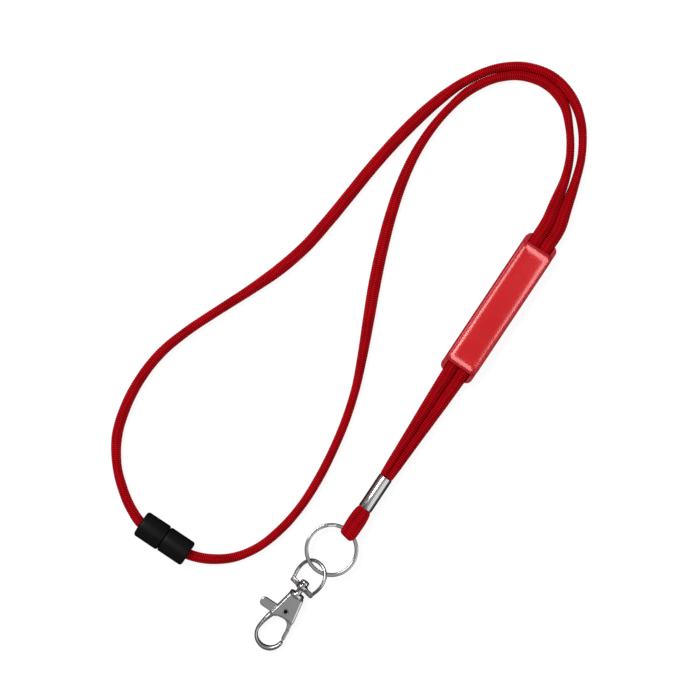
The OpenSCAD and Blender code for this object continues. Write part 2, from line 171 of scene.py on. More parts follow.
def make_floor():
    half = FLOOR_HALF
    mesh = bpy.data.meshes.new("floor")
    corners = [(-half, -half, 0), (half, -half, 0), (half, half, 0), (-half, half, 0)]
    mesh.from_pydata(corners, [], [(0, 1, 2, 3)])
    floor = add_object("floor", mesh)
    shade = Shader("pale_floor", (0.25, 0.25, 0.25), Roughness=0.9, Specular_IOR_Level=0.1,
                   Emission_Color=(1, 1, 1, 1), Emission_Strength=0.86)
    mesh.materials.append(shade.material)
    floor.visible_glossy = False


def softbox(name, azimuth, elevation, distance, size, power, target=(*VIEW_CENTRE, 0)):
    """An area light aimed at a target. Azimuth is counted from the picture's right-hand side."""
    data = bpy.data.lights.new(name, "AREA")
    data.shape = "RECTANGLE"
    data.size, data.size_y = size
    data.energy = power
    lamp = add_object(name, data)
    turn = math.radians(azimuth) + PICTURE_TURN
    rise = math.radians(elevation)
    away = Vector((math.cos(turn) * math.cos(rise), math.sin(turn) * math.cos(rise), math.sin(rise)))
    lamp.location = Vector(target) + away * distance
    lamp.rotation_euler = away.to_track_quat("Z", "Y").to_euler()
    lamp.visible_camera = False
    return lamp


def make_gloss_lights(pieces):
    """Two near panels that only show as the soft gleam along the label's edges."""
    group = bpy.data.collections.new("gleaming")
    for piece in pieces:
        group.objects.link(piece)
    target = Vector(SLIDER_AT) * MM
    for name, azimuth, width in (("lower_left_panel", 205, 0.56), ("upper_right_panel", 25, 0.54)):
        size = (width, GLEAM_HEIGHT)
        lamp = softbox(name, azimuth, 52, GLEAM_DISTANCE, size, GLEAM_POWER * width, target)
        lamp.light_linking.receiver_collection = group
        lamp.visible_diffuse = False
        lamp.visible_transmission = False


def make_light():
    """A softbox at the upper left, a panel at the right that only glosses, and an even room."""
    softbox("key_light", 135, 55, 1.4, (0.8, 0.5), KEY_POWER)
    panel = softbox("right_panel", -34, 45, 1.4, (1.0, 1.4), PANEL_POWER)
    panel.visible_diffuse = False
    world = bpy.data.worlds.new("studio")
    bpy.context.scene.world = world
    world.use_nodes = True
    nodes, links = world.node_tree.nodes, world.node_tree.links
    direction = nodes.new("ShaderNodeTexCoord")
    split = nodes.new("ShaderNodeSeparateXYZ")
    ramp = nodes.new("ShaderNodeValToRGB")
    scale = nodes.new("ShaderNodeMapRange")
    scale.inputs["From Min"].default_value = -1
    links.new(direction.outputs["Generated"], split.inputs[0])
    links.new(split.outputs["Z"], scale.inputs["Value"])
    links.new(scale.outputs["Result"], ramp.inputs["Fac"])
    set_stops(ramp, ROOM_REFLECTION)
    mirrored = nodes.new("ShaderNodeLightPath")
    either = nodes.new("ShaderNodeMix")
    either.data_type = "RGBA"
    links.new(mirrored.outputs["Is Glossy Ray"], either.inputs["Factor"])
    either.inputs[6].default_value = (ROOM_LIGHT, ROOM_LIGHT, ROOM_LIGHT, 1)
    links.new(ramp.outputs["Color"], either.inputs[7])
    links.new(either.outputs[2], nodes["Background"].inputs["Color"])
    view = bpy.context.scene.view_settings
    view.view_transform = "Standard"
    view.look = "None"


# --- materials -------------------------------------------------------------------------------

def set_stops(ramp, stops):
    """Gives a colour ramp these (position, colour) stops."""
    elements = ramp.color_ramp.elements
    while len(elements) < len(stops):
        elements.new(0.5)
    for element, (position, color) in zip(elements, stops):
        element.position = position
        element.color = (*color, 1)


class Shader:
    """A Principled material, with plain values on its own sockets and small node chains for the rest."""

    def __init__(self, name, color, **sockets):
        self.material = bpy.data.materials.new(name)
        self.material.use_nodes = True
        self.tree = self.material.node_tree
        self.surface = self.tree.nodes["Principled BSDF"]
        self.feed(self.surface, Base_Color=(*color, 1), **sockets)

    def feed(self, node, **inputs):
        for key, value in inputs.items():
            socket = node.inputs[key.replace("_", " ")]
            if isinstance(value, bpy.types.NodeSocket):
                self.tree.links.new(value, socket)
            else:
                socket.default_value = value

    def node(self, kind, props=None, **inputs):
        made = self.tree.nodes.new("ShaderNode" + kind)
        for key, value in (props or {}).items():
            setattr(made, key, value)
        self.feed(made, **inputs)
        return made

    def place(self):
        return self.node("TexCoord").outputs["Object"]

    def noise(self, scale, vector=None, detail=3.0, roughness=0.55):
        """Cloudy noise over the object, or over another vector."""
        vector = vector or self.place()
        made = self.node("TexNoise", Vector=vector, Scale=scale, Detail=detail, Roughness=roughness)
        return made.outputs["Fac"]

    def span(self, value, low, high, from_low=0.25, from_high=0.75):
        """Maps a value onto the range from low to high."""
        made = self.node("MapRange", Value=value, From_Min=from_low, From_Max=from_high,
                         To_Min=low, To_Max=high)
        return made.outputs["Result"]

    def math(self, operation, a, b):
        made = self.node("Math", {"operation": operation})
        for socket, value in zip(made.inputs, (a, b)):
            if isinstance(value, bpy.types.NodeSocket):
                self.tree.links.new(value, socket)
            else:
                socket.default_value = value
        return made.outputs[0]

    def ramp(self, value, stops):
        made = self.node("ValToRGB", Fac=value)
        set_stops(made, stops)
        return made.outputs["Color"]

    def bump(self, height, strength, distance):
        made = self.node("Bump", Height=height, Strength=strength, Distance=distance)
        self.feed(self.surface, Normal=made.outputs["Normal"])


def woven_red():
    """Deep red polyester with fine filaments that run across the ribs, painted brighter on the rib tops and
    darker in the valleys: painted shade from the rib height.
    """
    shade = Shader("red_cord", (0.5, 0.001, 0.004), Roughness=0.75, Specular_IOR_Level=0.04)
    weave = shade.node("Attribute", {"attribute_name": "weave"}).outputs["Vector"]
    lift = shade.node("SeparateXYZ", Vector=weave).outputs["Z"]
    stretched = shade.node("VectorMath", {"operation": "MULTIPLY"})
    shade.tree.links.new(weave, stretched.inputs[0])
    stretched.inputs[1].default_value = (1.0, 3.5, 0.0)
    filaments = shade.noise(3.0, stretched.outputs["Vector"], detail=2)
    patches = shade.noise(160.0, detail=2)
    # Painted shade: the rib height lightens the rib tops and darkens the valleys. The filaments and patches
    # add random tone.
    valley_shade_and_tone = shade.math("ADD", shade.math("MULTIPLY", lift, 0.72), shade.math("MULTIPLY", filaments, 0.24))
    valley_shade_and_tone = shade.math("ADD", valley_shade_and_tone, shade.span(patches, -0.05, 0.05))
    shade.feed(shade.surface, Base_Color=shade.ramp(valley_shade_and_tone, [
        (0.15, (0.012, 0.0, 0.0004)), (0.42, (0.13, 0.0003, 0.002)), (0.66, (0.44, 0.0008, 0.005)),
        (0.92, (0.76, 0.004, 0.012))]))
    shade.bump(filaments, 0.5, 0.00006)
    return shade.material


def plated(name, color, roughness, grain):
    """Bright plated metal, with faint waviness and a roughness that varies from place to place."""
    shade = Shader(name, color, Metallic=1.0)
    clouds = shade.noise(420.0, detail=4)
    shade.feed(shade.surface, Roughness=shade.span(clouds, roughness * 0.75, roughness * 1.3))
    ripple = shade.noise(1500.0, detail=2)
    shade.bump(ripple, grain, 0.00005)
    return shade.material


def moulded(name, color, dark, roughness, coat, grain, gleam=0.5):
    """Moulded plastic with slight colour clouds and a fine skin texture."""
    shade = Shader(name, color, Coat_Weight=coat, Coat_Roughness=0.05, Specular_IOR_Level=gleam)
    clouds = shade.noise(120.0, detail=3)
    shade.feed(shade.surface, Base_Color=shade.ramp(clouds, [(0.3, dark), (0.7, color)]))
    shade.feed(shade.surface, Roughness=shade.span(shade.noise(700.0), roughness * 0.85, roughness * 1.2))
    shade.bump(shade.noise(5200.0, detail=2), grain, 0.00003)
    return shade.material


def domed_resin(name, color, dark):
    """Glossy resin with faint clouds in its colour and its polish."""
    shade = Shader(name, color, Specular_IOR_Level=0.4)
    clouds = shade.noise(90.0, detail=1)
    shade.feed(shade.surface, Base_Color=shade.ramp(clouds, [(0.3, dark), (0.7, color)]))
    shade.feed(shade.surface, Roughness=shade.span(clouds, 0.2, 0.23))
    return shade.material


# --- mesh tools ------------------------------------------------------------------------------

def make_piece(name, vertices, faces, material, smooth=35):
    """A closed mesh, smooth but for edges sharper than the given angle."""
    mesh = bpy.data.meshes.new(name)
    mesh.from_pydata([tuple(v) for v in vertices], [], faces)
    tidy = bmesh.new()
    tidy.from_mesh(mesh)
    bmesh.ops.recalc_face_normals(tidy, faces=tidy.faces)
    tidy.to_mesh(mesh)
    tidy.free()
    mesh.materials.append(material)
    soften(mesh, smooth)
    return add_object(name, mesh)


def soften(mesh, angle):
    mesh.shade_smooth()
    mesh.set_sharp_from_angle(angle=math.radians(angle))


def ring_faces(count, sides, closed=False):
    """Quads between neighbouring rings of a swept shape, with flat caps at its ends unless it closes."""
    faces = []
    for i in range(count if closed else count - 1):
        a, b = i * sides, (i + 1) % count * sides
        faces += [(a + k, a + (k + 1) % sides, b + (k + 1) % sides, b + k) for k in range(sides)]
    if not closed:
        faces += [tuple(range(sides - 1, -1, -1)), tuple((count - 1) * sides + k for k in range(sides))]
    return faces


def swept(name, rings, material, closed=False, place=Matrix(), smooth=35):
    """A shape through rings of points, each (sides, 3) in millimetres in the frame that place sets."""
    rings = np.array(rings, float)
    flat = rings.reshape(-1, 3)
    turn = np.array(place.to_3x3(), float)
    moved = (flat @ turn.T + np.array(place.translation, float)) * MM
    return make_piece(name, moved, ring_faces(len(rings), rings.shape[1], closed), material, smooth)


def oval(sides, power=2.0):
    """A unit superellipse: 2 is round, and more is squarer."""
    turn = np.linspace(0, 2 * np.pi, sides, endpoint=False)
    c, s = np.cos(turn), np.sin(turn)
    return np.sign(c) * abs(c) ** (2 / power), np.sign(s) * abs(s) ** (2 / power)


def rings_along(points, across, width, height, power=2.0, sides=24):
    """Rings square to a path. across is the width's direction at each point."""
    points, across = np.array(points, float), np.array(across, float)
    ahead = np.gradient(points, axis=0)
    ahead /= np.linalg.norm(ahead, axis=1)[:, None]
    across = across - (across * ahead).sum(1)[:, None] * ahead
    across /= np.linalg.norm(across, axis=1)[:, None]
    up = np.cross(across, ahead)
    x, y = oval(sides, power)
    half_w = np.broadcast_to(width, len(points))[:, None, None] / 2
    half_h = np.broadcast_to(height, len(points))[:, None, None] / 2
    sideways = across[:, None] * x[None, :, None] * half_w
    upwards = up[:, None] * y[None, :, None] * half_h
    return points[:, None] + sideways + upwards


def smooth_path(route, step):
    """Evenly spaced points on a smooth curve through the route. Columns after the third come along."""
    route = np.array(route, float)
    knots = np.concatenate([[0], np.cumsum(np.sqrt(np.linalg.norm(np.diff(route[:, :3], axis=0), axis=1)))])
    slope = np.gradient(route, knots, axis=0)
    dense = []
    for i in range(len(route) - 1):
        gap = knots[i + 1] - knots[i]
        t = np.linspace(0, 1, 120, endpoint=False)[:, None]
        dense.append((2 * t ** 3 - 3 * t ** 2 + 1) * route[i] + (t ** 3 - 2 * t ** 2 + t) * gap * slope[i]
                     + (3 * t ** 2 - 2 * t ** 3) * route[i + 1] + (t ** 3 - t ** 2) * gap * slope[i + 1])
    dense = np.concatenate([*dense, route[-1:]])
    run = np.concatenate([[0], np.cumsum(np.linalg.norm(np.diff(dense[:, :3], axis=0), axis=1))])
    even = np.linspace(0, run[-1], max(2, round(run[-1] / step) + 1))
    return np.stack([np.interp(even, run, dense[:, k]) for k in range(dense.shape[1])], axis=1), even


def lathe(name, profile, material, place=Matrix(), solid=True, sides=64, smooth=35):
    """Turns (radius, height) points about local Y. A solid's profile starts and ends near the axis."""
    turn = np.linspace(0, 2 * np.pi, sides, endpoint=False)
    rings = [np.stack([r * np.cos(turn), np.full(sides, y), -r * np.sin(turn)], 1) for r, y in profile]
    return swept(name, rings, material, closed=not solid, place=place, smooth=smooth)


def arc(x, y, r, start, end, steps=5):
    """Points on an arc, with angles in degrees."""
    turns = np.radians(np.linspace(start, end, steps + 1))
    return [(x + r * math.cos(t), y + r * math.sin(t)) for t in turns]


def round_rect(w, l, r, steps=6):
    r = max(r, 0.02)
    return (arc(w / 2 - r, l / 2 - r, r, 0, 90, steps) + arc(r - w / 2, l / 2 - r, r, 90, 180, steps)
            + arc(r - w / 2, r - l / 2, r, 180, 270, steps) + arc(w / 2 - r, r - l / 2, r, 270, 360, steps))


def filleted(corners, steps=6):
    """An anticlockwise outline with round corners. A corner is (x, y, radius)."""
    outline = []
    for i, (x, y, r) in enumerate(corners):
        here = np.array((x, y))
        back = np.array(corners[i - 1][:2]) - here
        ahead = np.array(corners[(i + 1) % len(corners)][:2]) - here
        room = 0.48 * min(np.linalg.norm(back), np.linalg.norm(ahead))
        back, ahead = back / np.linalg.norm(back), ahead / np.linalg.norm(ahead)
        half = math.acos(np.clip(back @ ahead, -1, 1)) / 2
        r = min(r, room * math.tan(half))
        centre = here + (back + ahead) / np.linalg.norm(back + ahead) * r / math.sin(half)
        start, end = here + back * r / math.tan(half) - centre, here + ahead * r / math.tan(half) - centre
        turn = math.atan2(start[0] * end[1] - start[1] * end[0], start @ end)
        for t in np.linspace(0, turn, steps + 1):
            c, s = math.cos(t), math.sin(t)
            outline.append((centre[0] + c * start[0] - s * start[1], centre[1] + s * start[0] + c * start[1]))
    return outline


def inset(outline, distance):
    """Moves an anticlockwise outline inwards."""
    points = np.array(outline, float)
    before = points - np.roll(points, 1, 0)
    after = np.roll(points, -1, 0) - points
    before /= np.linalg.norm(before, axis=1)[:, None]
    after /= np.linalg.norm(after, axis=1)[:, None]
    inward = np.stack([-(before + after)[:, 1], (before + after)[:, 0]], 1)
    inward /= np.linalg.norm(inward, axis=1)[:, None]
    share = (inward * np.stack([-before[:, 1], before[:, 0]], 1)).sum(1)
    return points + inward * distance / np.maximum(share, 0.6)[:, None]


def round_edge(width, height, steps=4):
    """A rounded edge's (inset, drop) pairs, from the side up to the flat."""
    turns = [math.pi / 2 * k / steps for k in range(steps + 1)]
    return [(width * (1 - math.cos(t)), height * (1 - math.sin(t))) for t in turns]


def plate_rings(outline, low, high, top, bottom):
    """Rings of a plate whose top and bottom edges follow (inset, drop) pairs."""
    flat = 0.03                   # a flat rim keeps the end faces' shading level
    levels = [(bottom[-1][0] + flat, low)] + [(inner, low + drop) for inner, drop in reversed(bottom)]
    levels += [(inner, high - drop) for inner, drop in top] + [(top[-1][0] + flat, high)]
    rings = []
    for inner, z in levels:
        edge = inset(outline, inner)
        rings.append(np.column_stack([edge, np.full(len(edge), z)]))
    return rings


def plate(name, outline, low, high, material, place=Matrix(), top=None, bottom=None, smooth=35):
    top = top or round_edge(0.2, 0.2)
    rings = plate_rings(outline, low, high, top, bottom or top)
    return swept(name, rings, material, place=place, smooth=smooth)


def prism(name, outline, low, high, material, place=Matrix()):
    """A straight-sided block, to cut with."""
    rings = [np.column_stack([outline, np.full(len(outline), z)]) for z in (low, high)]
    return swept(name, rings, material, place=place)


def block(name, w, l, low, high, material, place=Matrix()):
    corners = [(-w / 2, -l / 2), (w / 2, -l / 2), (w / 2, l / 2), (-w / 2, l / 2)]
    return prism(name, corners, low, high, material, place)


def merge(first, others, operation="UNION", smooth=35):
    """Joins others to the first piece as one clean solid, or cuts them from it, and removes them."""
    for other in others:
        change = first.modifiers.new("merge", "BOOLEAN")
        change.operation = operation
        change.solver = "EXACT"
        change.object = other
        bpy.context.view_layer.update()
        done = first.evaluated_get(bpy.context.evaluated_depsgraph_get())
        mesh = bpy.data.meshes.new_from_object(done)
        first.modifiers.clear()
        first.data = mesh
        bpy.data.objects.remove(other)
    soften(first.data, smooth)
    return first


def finish_piece(piece, body, slot, *nodes):
    """The piece rides on its body and stands for its CAD nodes, which it hides. The slot argument is not
    used.
    """
    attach(piece, body)
    if nodes:
        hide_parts(*nodes)
    return piece


# --- cord ------------------------------------------------------------------------------------

def weave(name, points, across, width, height, run, material, power=2.0):
    """A woven tube in metres, with real ribs across it and shallow yarn columns along it."""
    rings = rings_along(points, across, width, height, power, CORD_SIDES)
    turn = np.linspace(0, 2 * np.pi, CORD_SIDES, endpoint=False)[None, :]
    phase = run[:, None] / RIB_PITCH
    sway = 0.16 * np.sin(YARNS * turn + 0.9 * np.sin(phase * 0.61)) + 0.12 * np.sin(3 * turn + phase * 0.37)
    rib = abs(np.sin(np.pi * (phase + sway))) ** 0.8
    yarn = 0.5 + 0.5 * np.cos(YARNS * turn + 0.5 * np.sin(phase * 0.45))
    middle = np.array(points)[:, None]
    outward = rings - middle
    reach = np.linalg.norm(outward, axis=2)[:, :, None]
    drop = RIB_DEPTH * (1 - rib) + YARN_DEPTH * (1 - yarn)
    rings = middle + outward * (1 - drop[:, :, None] / reach)
    count = len(rings)
    cord = make_piece(name, rings.reshape(-1, 3), ring_faces(count, CORD_SIDES), material, 75)
    # The third column is the rib height, which the red_cord material turns into painted shade: dark valleys
    # and bright rib tops.
    lay = np.stack([np.broadcast_to(run[:, None] / MM, rib.shape), np.broadcast_to(turn * 2.2, rib.shape),
                    0.8 * rib + 0.2 * yarn], axis=2)
    record = cord.data.attributes.new("weave", "FLOAT_VECTOR", "POINT")
    record.data.foreach_set("vector", lay.astype(np.float32).ravel())
    return cord


def strand(name, route, material):
    """One strand along its route, and the centreline that it follows."""
    full = [(*p, CORD_D) if len(p) == 4 else p for p in route]
    path, run = smooth_path(full, RIB_PITCH / RINGS_PER_RIB)
    ahead = np.gradient(path[:, :3], axis=0)
    across = np.cross(ahead, (0, 0, 1))
    piece = weave(name, path[:, :3], across, path[:, 3], path[:, 4], run, material)
    return piece, [tuple(p) for p in path[::20, :3]] + [tuple(path[-1, :3])]


def make_cords(material):
    outer, outer_path = strand("cord_outer_strand", OUTER_ROUTE, material)
    finish_piece(outer, "strap", "red_cord", "cord_outer")
    inner, inner_path = strand("cord_inner_strand", INNER_ROUTE, material)
    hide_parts("cord_inner")
    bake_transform(inner)
    fold = make_fold(material)
    finish_piece(fold, "strap", "red_cord", "cord_fold")


def make_fold(material):
    """The cord's flattened end: out of the ferrule, round the split ring and back in."""
    top = 2.0                     # the fold's middle line above and below its axis
    legs = [(AXIS_X, FERRULE_Y + 6.5, 1.05, 4.0, 2.1), (AXIS_X, FERRULE_Y + 3, 1.05, 4.2, 2.1),
            (AXIS_X, FERRULE_Y + 0.6, 1.1, 4.5, 2.1), (AXIS_X, FERRULE_Y - 0.6, 1.2, 5.8, 2.2),
            (AXIS_X, FERRULE_Y - 2, 1.35, 6.6, 2.2), (AXIS_X, FERRULE_Y - 4.5, 1.6, 7.1, 2.0),
            (AXIS_X, FERRULE_Y - 8, 1.9, 7.1, 1.6)]
    outward = Vector((math.sin(FOLD_SKEW), -math.cos(FOLD_SKEW), 0))
    route = [(x, y, HOLD_Z + z, w, h) for x, y, z, w, h in legs]
    for turn in np.radians(np.linspace(90, -90, 9)):
        spot = Vector(FOLD_AT) + outward * top * math.cos(turn) + Vector((0, 0, top * math.sin(turn)))
        route.append((*spot, 6.8 - 1.3 * math.cos(turn) ** 2, 1.3))
    route += [(x, y, HOLD_Z - z, w, h) for x, y, z, w, h in reversed(legs)]
    path, run = smooth_path(np.array(route) * MM, RIB_PITCH / RINGS_PER_RIB)
    near_ring = np.clip((FERRULE_Y - path[:, 1] / MM - 2) / 8, 0, 1)[:, None]
    skewed = np.array((math.cos(FOLD_SKEW), math.sin(FOLD_SKEW), 0))
    across = (1 - near_ring) * np.array((1, 0, 0)) + near_ring * skewed
    return weave("cord_fold_band", path[:, :3], across, path[:, 3], path[:, 4], run, material, power=2.7)


# --- slider and ferrule ----------------------------------------------------------------------

SLIDER_W = 14.0
CHANNEL_W = 10.5
TRAY_FLOOR = 1.2
CHANNEL_TOP = 6.2
JOINT_Z = 5.2
COVER_TOP = 7.4
LABEL_W = 12.0
LABEL_LEN = 54.4


def make_ferrule(material):
    """A crimped tube with rolled ends and the seam of its bent sheet underneath."""
    bore, outer, lip = 2.45, 2.9, 0.22
    profile = [(bore, lip), (bore, FERRULE_LEN - lip)]
    profile += [(x, y) for x, y in arc(outer - lip, FERRULE_LEN - lip, lip, 180, 0, 6)]
    profile += [(x, y) for x, y in arc(outer - lip, lip, lip, 0, -180, 6)]
    tube = lathe("ferrule_tube", profile, material, at((AXIS_X, FERRULE_Y, HOLD_Z)), solid=False, sides=72)
    seam = block("seam_cut", 0.18, FERRULE_LEN + 2, -3.5, -2.72, material,
                 at((AXIS_X, FERRULE_Y + FERRULE_LEN / 2, HOLD_Z)))
    merge(tube, [seam], "DIFFERENCE")
    return finish_piece(tube, "strap", "nickel", "crimp_ferrule")


def make_slider(red_tray, red_cover, red_label, resin):
    """The tray and cover that clip round both strands, and the label under its red resin dome."""
    place = at(SLIDER_AT)
    tray = plate("slider_tray_body", round_rect(SLIDER_W, 65, 2.6, 8), 0, JOINT_Z, red_tray, place,
                 top=round_edge(0.25, 0.25), bottom=round_edge(0.5, 0.5))
    merge(tray, [block("channel_cut", CHANNEL_W, 80, TRAY_FLOOR, 9, red_tray, place)], "DIFFERENCE")
    finish_piece(tray, "slider", "red_tray", "slider_tray")

    cover = plate("slider_cover_body", round_rect(SLIDER_W, 57, 2.6, 8), JOINT_Z, COVER_TOP, red_cover, place,
                  top=round_edge(0.9, 1.1, 8), bottom=round_edge(0.2, 0.2))
    cuts = [block("channel_cut", CHANNEL_W, 80, 0, CHANNEL_TOP, red_cover, place),
            prism("label_cut", round_rect(LABEL_W + 0.1, LABEL_LEN + 0.1, 1.25), COVER_TOP - 0.15, 9,
                  red_cover, place)]
    merge(cover, cuts, "DIFFERENCE")
    finish_piece(cover, "slider", "red_cover", "slider_cover")

    label_top = COVER_TOP + 0.02
    label = plate("label_film", round_rect(LABEL_W, LABEL_LEN, 1.2), COVER_TOP - 0.14, label_top,
                  red_label, place, top=round_edge(0.02, 0.02, 2))
    finish_piece(label, "slider", "red_label", "badge_label")

    reach, steepness, shoulder = 5.4, 0.56, 1.5
    inners = reach * (np.arange(33) / 32) ** 1.7
    slopes = steepness * np.exp(-(inners / shoulder) ** 1.4)
    lifts = np.concatenate([[0], np.cumsum((slopes[1:] + slopes[:-1]) / 2 * np.diff(inners))])
    rings = []
    for inner, lift in zip(inners, lifts):
        shape = round_rect(LABEL_W - 2 * inner, LABEL_LEN - 2 * inner, max(1.9 - 0.5 * inner, 0.3), 10)
        rings.append(np.column_stack([shape, np.full(len(shape), label_top + lift)]))
    foot = rings[0].copy()
    foot[:, 2] = COVER_TOP - 0.05
    dome = swept("resin_dome", [foot, *rings], resin, place=place, smooth=50)
    finish_piece(dome, "slider", "red_resin", "badge_dome")
    return [dome]


# --- split ring and swivel hook --------------------------------------------------------------

def make_split_ring(material):
    """Two turns of flattened wire, side by side, with a step between them and two cut ends."""
    first, step_from, step_to, last = 133.0, 471.0, 493.0, 831.0
    turns = np.radians(np.arange(first, last + 0.01, 1.5))
    share = np.clip((np.degrees(turns) - step_from) / (step_to - step_from), 0, 1)
    rise = -0.475 + 0.95 * (3 * share ** 2 - 2 * share ** 3)
    centre = np.stack([RING_R * np.cos(turns), RING_R * np.sin(turns), rise], 1)
    outward = np.stack([np.cos(turns), np.sin(turns), 0 * turns], 1)
    width = np.full(len(turns), 1.5)
    rings = rings_along(centre, outward, width, 0.9, power=3.4, sides=28)
    ring = swept("split_ring_wire", rings, material, place=RING, smooth=40)
    return finish_piece(ring, "ring", "nickel", "split_ring")


EYE_WIRE = 1.4


def make_eye(material):
    """The swivel eye: a bent wire loop on a flat base with a hub in the middle."""
    belly_x, belly, top, low, high = 6.35, 16.6, 23.6, 10.6, 12.7
    x, y = oval(72, 2.2)
    bend = np.stack([-belly_x * x, belly + (top - belly) * y, 0 * x], 1)[:37]
    legs = np.array([(5.4, low + 0.8, 0), (5.6, 12.6, 0), (5.98, 14.0, 0), (6.23, 15.3, 0)])
    path, _ = smooth_path(np.concatenate([legs * (-1, 1, 1), bend, legs[::-1]]), 0.35)
    rings = rings_along(path, np.tile((0, 0, 1.0), (len(path), 1)), EYE_WIRE, EYE_WIRE, sides=24)
    wire = swept("swivel_eye_loop", rings, material, place=EYE)
    bar_end = 6.05
    base = plate("eye_base", filleted([(-bar_end, low, 0.6), (bar_end, low, 0.6), (bar_end, high - 0.1, 0.5),
                                       (-bar_end, high - 0.1, 0.5)]),
                 -0.66, 0.66, material, EYE, top=round_edge(0.22, 0.22))
    hub = lathe("eye_hub", [(0.02, low), *arc(2.08, low + 0.22, 0.22, -90, 0, 4),
                            *arc(2.08, high - 0.22, 0.22, 0, 90, 4), (0.02, high)], material, EYE)
    merge(wire, [base, hub])
    merge(wire, [lathe("eye_bore", [(0.02, 5), (1.45, 5), (1.45, 18), (0.02, 18)], material, EYE, sides=40)],
          "DIFFERENCE")
    return finish_piece(wire, "eye", "nickel", "swivel_eye")


def make_swivel_pin(material):
    """A pin with a mushroomed head inside the eye."""
    profile = [(0.02, 5.5), (1.1, 5.5), (1.25, 5.7), (1.25, 12.95), (1.55, 13.0),
               *arc(1.6, 13.25, 0.25, -60, 0, 3), *arc(1.2, 13.9, 0.65, 0, 80, 6), (0.6, 14.6),
               (0.02, 14.62)]
    rivet = lathe("swivel_pin_rivet", profile, material, HOOK, sides=48)
    return finish_piece(rivet, "hook", "nickel", "swivel_pin")


CAST_CHAMFER = [(0, 0.7), (0.05, 0.45), (0.15, 0.32), (0.68, 0.06), (0.8, 0)]


def make_hook(material):
    """The cast hook: a tapered body with a slot for the lever, a bent finger and a round collar."""
    outline = filleted([(-2.9, 7.6, 0.85), (-4.15, 1.2, 8), (-5.4, -3.9, 1.3), (-3.3, -4.2, 2.2),
                        (-1.7, -3.15, 3), (0.2, -2.85, 4), (2.2, -2.8, 4), (5.25, -3.45, 0.85),
                        (5.0, -1, 4), (3.5, 7.6, 0.85)])
    body = plate("hook_casting", outline, -2.2, 2.2, material, HOOK, top=CAST_CHAMFER)
    limb = [(-4.1, -2.0, 2.4), (-4.35, -4.2, 2.3), (-4.85, -5.9, 2.0), (-5.35, -8.3, 1.62)]
    wides = [1.42, 1.36, 1.34, 1.34, 1.36, 1.4, 1.44, 1.5, 1.6, 1.68, 1.76, 1.84, 1.9,
             1.94, 1.98, 2.0, 1.98, 1.94, 1.88, 1.8, 1.74, 1.68, 1.62, 1.55, 1.5]
    bend = [(x, y, w) for (x, y), w in zip(arc(-0.15, -11.25, 5.52, 180, 366, len(wides) - 1), wides)]
    route = [(x, y, 0, w) for x, y, w in limb + bend]
    path, _ = smooth_path(route, 0.3)
    tip = np.array([0.0] * (len(path) - 4) + [0.1, 0.28, 0.6, 1.3])
    ahead = np.gradient(path[:, :3], axis=0)
    across = np.cross(ahead, (0, 0, 1))
    widths, thick = np.maximum(path[:, 3] - tip, 0.25), np.maximum(3.0 - 1.6 * tip, 0.9)
    rings = rings_along(path[:, :3], across, widths, thick, power=2.8, sides=28)
    finger = swept("hook_finger", rings, material, place=HOOK)
    collar = lathe("hook_collar", [(0.02, 6.6), (2.2, 6.6), (2.65, 7.0), (2.9, 7.15),
                                   *arc(2.85, 7.4, 0.25, -45, 0, 3), *arc(2.85, 8.45, 0.25, 0, 90, 4),
                                   (0.02, 8.7)], material, HOOK)
    merge(body, [finger, collar])
    slot_edge = [(-9, -3.6), (0, -3.6), (0, -6), (9, -6), (9, 3.6), (3, 4.4), (-9, 4.4)]
    slot = prism("lever_slot", slot_edge, -1.05, 1.05, material, HOOK)
    hole = lathe("pin_hole", [(0.02, -3), (1.5, -3), (1.5, -2.35), (1.05, -1.95), (1.05, -1.5), (0.85, -1.5),
                              (0.85, 1.5), (1.05, 1.5), (1.05, 1.95), (1.5, 2.35), (1.5, 3), (0.02, 3)],
                 material, HOOK @ Matrix.Rotation(math.pi / 2, 4, "X"), sides=48)
    bore = lathe("swivel_bore", [(0.02, 5.3), (1.25, 5.3), (1.25, 9), (0.02, 9)], material, HOOK, sides=40)
    merge(body, [slot, hole, bore], "DIFFERENCE")
    return finish_piece(body, "hook", "nickel_cast", "hook_body")


def make_lever(material):
    """The thumb lever: a rounded tab, a boss on the pin and the gate that closes the hook."""
    tab = filleted([(-11, -3.35, 1.85), (-3.2, -3.35, 1.4), (-1.0, -1.6, 0.5), (-1.0, 0.45, 0.5),
                    (-11, 0.45, 1.85)], 8)
    lever = plate("lever_tab", tab, -0.95, 0.95, material, HOOK, top=round_edge(0.3, 0.35))
    boss = plate("lever_boss", arc(0, 0, 2.3, 0, 354, 59), -0.94, 0.94, material, HOOK,
                 top=round_edge(0.1, 0.1))
    arm = plate("lever_arm", filleted([(-0.4, -2.1, 0.3), (2.6, -3.4, 1), (3.5, -4.6, 1), (4.05, -6.6, 0.3),
                                       (5.48, -6.6, 0.3), (5.05, -3.3, 1), (4, -1.5, 1.5), (2.4, 1.2, 1),
                                       (0.4, 2.1, 0.3)]),
                -0.93, 0.93, material, HOOK, top=round_edge(0.2, 0.2))
    tongue = filleted([(4.0, -5.6, 0.4), (4.38, -9.5, 1), (4.55, -10.4, 0.5), (5.65, -10.4, 0.5),
                       (5.82, -9.5, 1), (5.45, -5.6, 0.4)])
    gate = plate("lever_gate", tongue, -1.3, 1.3, material, HOOK, top=round_edge(0.33, 0.4))
    merge(lever, [boss, arm, gate])
    pocket = prism("spring_pocket", arc(0, 0, 2.45, 0, 354, 59), 0.0, 4, material, HOOK)
    hole = prism("lever_hole", arc(0, 0, 0.85, 0, 350, 35), -4, 4, material, HOOK)
    merge(lever, [pocket, hole], "DIFFERENCE")
    return finish_piece(lever, "gate", "nickel_cast", "gate_lever")


